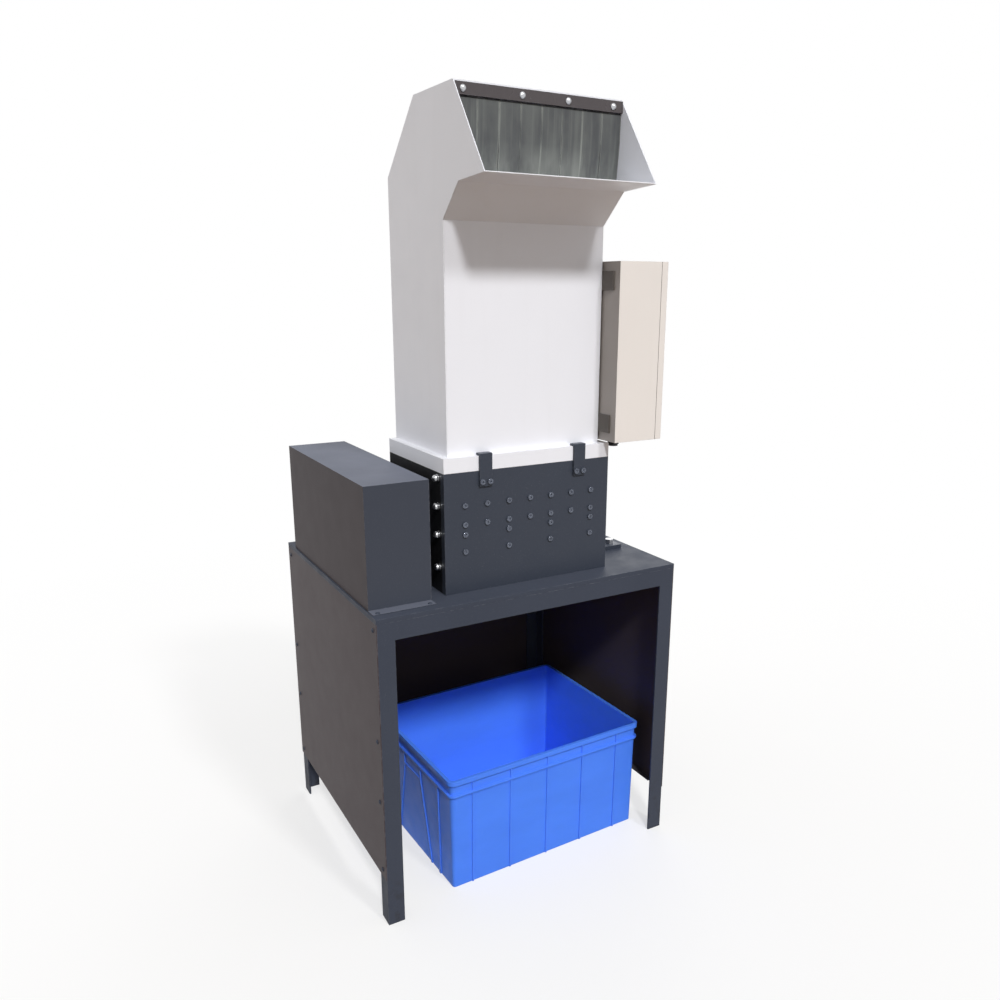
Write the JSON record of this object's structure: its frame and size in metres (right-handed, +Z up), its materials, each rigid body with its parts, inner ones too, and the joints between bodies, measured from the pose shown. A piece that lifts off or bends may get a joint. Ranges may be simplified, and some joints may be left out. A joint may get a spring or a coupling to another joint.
{
  "type": "glass crusher",
  "caption": "Floor-standing glass crusher with a curtained feed hopper, a bolted crushing chamber, a guarded belt drive and a collecting crate.",
  "frame": {"origin": "on the floor under the middle of the whole machine's outline", "axes": "+X to the machine's right, +Y to its rear, +Z up; the feed mouth faces -Y"},
  "size_m": [0.766, 0.729, 1.73],
  "materials": {
    "stand_paint": "satin",
    "panel_paint": "satin",
    "guard_paint": "satin",
    "chamber_paint": "satin",
    "chamber_black": "satin",
    "zinc_fastener": "satin",
    "black_fastener": "satin",
    "wear_steel": "rough",
    "shaft_steel": "satin",
    "bearing_iron": "satin",
    "pulley_iron": "satin",
    "belt_rubber": "matt",
    "motor_paint": "satin",
    "hopper_white": "satin",
    "clamp_paint": "satin",
    "clear_strip": "clear",
    "cabinet_paint": "satin",
    "gear_plastic": "matt",
    "gland_plastic": "matt",
    "green_plastic": "gloss",
    "red_plastic": "gloss",
    "crate_blue": "satin"
  },
  "bodies": {
    "machine": {"stand_frame": "stand_paint", "top_plate": "stand_paint", "left_panel": "panel_paint", "right_panel": "panel_paint", "rear_panel": "panel_paint", "sheet_screws": "stand_paint", "discharge_chute": "stand_paint", "chamber_front": "chamber_paint", "chamber_left": "chamber_black", "chamber_right": "chamber_black", "chamber_rear": "chamber_black", "chamber_feet": "chamber_paint", "foot_bolts": "zinc_fastener", "front_bolts": "black_fastener", "side_bolts": "zinc_fastener", "wear_liners": "wear_steel", "anvil_bars": "wear_steel", "screen": "wear_steel", "screen_rails": "chamber_black", "bearing_left": "bearing_iron", "bearing_right": "bearing_iron", "bearing_bolts": "zinc_fastener", "drive_belts": "belt_rubber", "motor_frame": "motor_paint", "motor_cowl": "motor_paint", "motor_rails": "motor_paint", "belt_guard": "guard_paint", "guard_wall": "guard_paint", "hopper_collar": "hopper_white", "hopper_left": "hopper_white", "hopper_right": "hopper_white", "hopper_front": "hopper_white", "hopper_rear": "hopper_white", "clamp_bar": "clamp_paint", "clamp_screws": "zinc_fastener", "hold_down_clips": "chamber_paint", "enclosure_brackets": "cabinet_paint", "enclosure": "cabinet_paint", "control_gear": "gear_plastic", "cable_gland": "gland_plastic"},
    "rotor": {"rotor_shaft": "shaft_steel", "rotor_discs": "wear_steel", "beater_bars": "wear_steel", "rotor_pulley": "pulley_iron"},
    "motor_rotor": {"motor_shaft": "shaft_steel", "motor_pulley": "pulley_iron"},
    "crate": {"crate": "crate_blue"},
    "strip_1": {"strip_1": "clear_strip"},
    "strip_2": {"strip_2": "clear_strip"},
    "strip_3": {"strip_3": "clear_strip"},
    "strip_4": {"strip_4": "clear_strip"},
    "strip_5": {"strip_5": "clear_strip"},
    "strip_6": {"strip_6": "clear_strip"},
    "strip_7": {"strip_7": "clear_strip"},
    "strip_8": {"strip_8": "clear_strip"},
    "door": {"enclosure_door": "cabinet_paint"},
    "latch": {"door_latch": "zinc_fastener"},
    "start": {"start_button": "green_plastic"},
    "stop": {"stop_button": "red_plastic"},
    "emergency_stop": {"emergency_button": "red_plastic"}
  },
  "joints": [
    {"name": "rotor_spin", "type": "hinge", "parent": "machine", "child": "rotor", "pos_m": [-0.196, -0.0545, 0.856], "axis": [1, 0, 0], "continuous": true},
    {"name": "motor_spin", "type": "hinge", "parent": "machine", "child": "motor_rotor", "pos_m": [-0.234, 0.2205, 0.825], "axis": [1, 0, 0], "continuous": true},
    {"name": "crate_slide", "type": "slide", "parent": "machine", "child": "crate", "axis": [0, -1, 0], "range_m": [0, 0.55]},
    {"name": "strip_1_swing", "type": "hinge", "parent": "machine", "child": "strip_1", "pos_m": [-0.1564, -0.2435, 1.6996], "axis": [1, 0, 0], "range_deg": [-30, 60], "stiffness_Nm_per_rad": 0.08},
    {"name": "strip_2_swing", "type": "hinge", "parent": "machine", "child": "strip_2", "pos_m": [-0.10948, -0.2435, 1.6996], "axis": [1, 0, 0], "range_deg": [-30, 60], "stiffness_Nm_per_rad": 0.08},
    {"name": "strip_3_swing", "type": "hinge", "parent": "machine", "child": "strip_3", "pos_m": [-0.06255, -0.2435, 1.6996], "axis": [1, 0, 0], "range_deg": [-30, 60], "stiffness_Nm_per_rad": 0.08},
    {"name": "strip_4_swing", "type": "hinge", "parent": "machine", "child": "strip_4", "pos_m": [-0.01562, -0.2435, 1.6996], "axis": [1, 0, 0], "range_deg": [-30, 60], "stiffness_Nm_per_rad": 0.08},
    {"name": "strip_5_swing", "type": "hinge", "parent": "machine", "child": "strip_5", "pos_m": [0.0313, -0.2435, 1.6996], "axis": [1, 0, 0], "range_deg": [-30, 60], "stiffness_Nm_per_rad": 0.08},
    {"name": "strip_6_swing", "type": "hinge", "parent": "machine", "child": "strip_6", "pos_m": [0.07823, -0.2435, 1.6996], "axis": [1, 0, 0], "range_deg": [-30, 60], "stiffness_Nm_per_rad": 0.08},
    {"name": "strip_7_swing", "type": "hinge", "parent": "machine", "child": "strip_7", "pos_m": [0.12515, -0.2435, 1.6996], "axis": [1, 0, 0], "range_deg": [-30, 60], "stiffness_Nm_per_rad": 0.08},
    {"name": "strip_8_swing", "type": "hinge", "parent": "machine", "child": "strip_8", "pos_m": [0.17208, -0.2435, 1.6996], "axis": [1, 0, 0], "range_deg": [-30, 60], "stiffness_Nm_per_rad": 0.08},
    {"name": "door_swing", "type": "hinge", "parent": "machine", "child": "door", "pos_m": [0.313, 0.0535, 1.22], "axis": [0, 0, 1], "range_deg": [0, 110]},
    {"name": "latch_turn", "type": "hinge", "parent": "door", "child": "latch", "pos_m": [0.334, -0.2235, 1.22], "axis": [1, 0, 0], "range_deg": [-90, 0]},
    {"name": "start_push", "type": "slide", "parent": "door", "child": "start", "axis": [-1, 0, 0], "range_m": [0, 0.004], "stiffness_N_per_m": 350, "springref_m": -0.001},
    {"name": "stop_push", "type": "slide", "parent": "door", "child": "stop", "axis": [-1, 0, 0], "range_m": [0, 0.004], "stiffness_N_per_m": 350, "springref_m": -0.001},
    {"name": "emergency_push", "type": "slide", "parent": "door", "child": "emergency_stop", "axis": [-1, 0, 0], "range_m": [0, 0.004]}
  ],
  "couplings": [
    {"joint": "motor_spin", "follows": "rotor_spin", "ratio": 2.0582}
  ]
}
